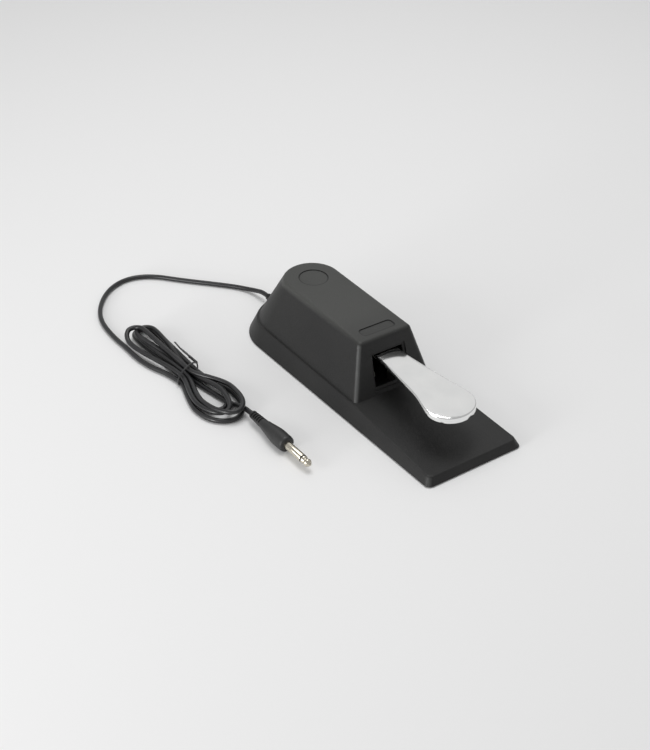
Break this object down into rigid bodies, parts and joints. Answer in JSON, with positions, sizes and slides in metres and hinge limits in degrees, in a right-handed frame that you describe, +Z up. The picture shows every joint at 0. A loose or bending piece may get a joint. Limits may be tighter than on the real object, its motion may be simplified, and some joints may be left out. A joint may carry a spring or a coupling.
{
  "type": "sustain pedal",
  "caption": "Piano-style sustain pedal: chromed lever hinged in a moulded wedge-shaped case, with spring return, switch, and a tied-up lead ending in a jack plug.",
  "frame": {"origin": "on the floor, under the middle of the case", "axes": "+Z up, -Y towards the toe end of the lever, +Y towards the cord exit, X across"},
  "size_m": [0.1812, 0.3841, 0.0608],
  "materials": {
    "case_plastic": "finely textured moulded ABS, warm black",
    "plate_steel": "black painted sheet steel",
    "mat_rubber": "ribbed non-slip rubber sheet",
    "screw_steel": "zinc-plated",
    "lever_chrome": "bright chrome plating on pressed steel",
    "bright_steel": "ground pin",
    "spring_steel": "spring steel",
    "bush_nylon": "natural nylon",
    "bracket_steel": "zinc-plated sheet",
    "stop_felt": "dense wool felt",
    "stop_rubber": "soft rubber buffer",
    "switch_plastic": "glass-filled switch housing",
    "button_plastic": "switch button",
    "tab_brass": "tinned brass tab",
    "gland_rubber": "soft black moulding",
    "cord_jacket": "satin black soft jacket",
    "wire_black": "thin insulated wire",
    "wire_red": "thin insulated wire",
    "tie_plastic": "plastic-covered wire",
    "plug_plastic": "moulded plug grip",
    "insulator_plastic": "insulating ring",
    "plug_nickel": "nickel plating"
  },
  "bodies": {
    "case": {"upper_case": "case_plastic", "base_plate": "plate_steel", "rubber_mat": "mat_rubber", "case_screws": "screw_steel", "pivot_bush_left": "bush_nylon", "pivot_bush_right": "bush_nylon", "pivot_bracket": "bracket_steel", "bracket_screws": "screw_steel", "stop_bracket": "bracket_steel", "upper_stop_felt": "stop_felt", "lower_stop_rubber": "stop_rubber", "spring_seat": "bush_nylon", "return_spring": "spring_steel", "switch_body": "switch_plastic", "switch_tabs": "tab_brass", "switch_bracket": "bracket_steel", "switch_screws": "screw_steel", "switch_foot_screws": "screw_steel", "cable_gland": "gland_rubber", "inner_cable": "cord_jacket", "cable_clamp": "bush_nylon", "clamp_screws": "screw_steel", "wire_common": "wire_black", "wire_contact": "wire_red", "cord_lead": "cord_jacket", "cord_hank": "cord_jacket", "cord_tail": "cord_jacket", "twist_tie": "tie_plastic", "plug_body": "plug_plastic", "plug_sleeve": "plug_nickel", "plug_insulator": "insulator_plastic", "plug_tip": "plug_nickel"},
    "pedal": {"pedal_lever": "lever_chrome", "pivot_shaft": "bright_steel", "shaft_clip_left": "spring_steel", "shaft_clip_right": "spring_steel", "spring_cap": "bush_nylon"},
    "switch_arm": {"switch_leaf": "spring_steel"},
    "switch_button": {"switch_plunger": "button_plastic"}
  },
  "joints": [
    {"name": "pedal_press", "type": "hinge", "parent": "case", "child": "pedal", "pos_m": [0, 0.052, 0.038], "axis": [1, 0, 0], "range_deg": [0, 6.5], "stiffness_Nm_per_rad": 8, "springref_deg": -11.46, "deforming": ["return_spring"]},
    {"name": "leaf_pivot", "type": "hinge", "parent": "case", "child": "switch_arm", "pos_m": [0, 0.042, 0.0372], "axis": [1, 0, 0], "range_deg": [0, 10.6]},
    {"name": "button_slide", "type": "slide", "parent": "case", "child": "switch_button", "axis": [0, 0, -1], "range_m": [0, 0.0014]}
  ],
  "couplings": [
    {"joint": "leaf_pivot", "follows": "pedal_press", "ratio": 1.6},
    {"joint": "button_slide", "follows": "pedal_press", "m_per_rad": 0.01215}
  ]
}
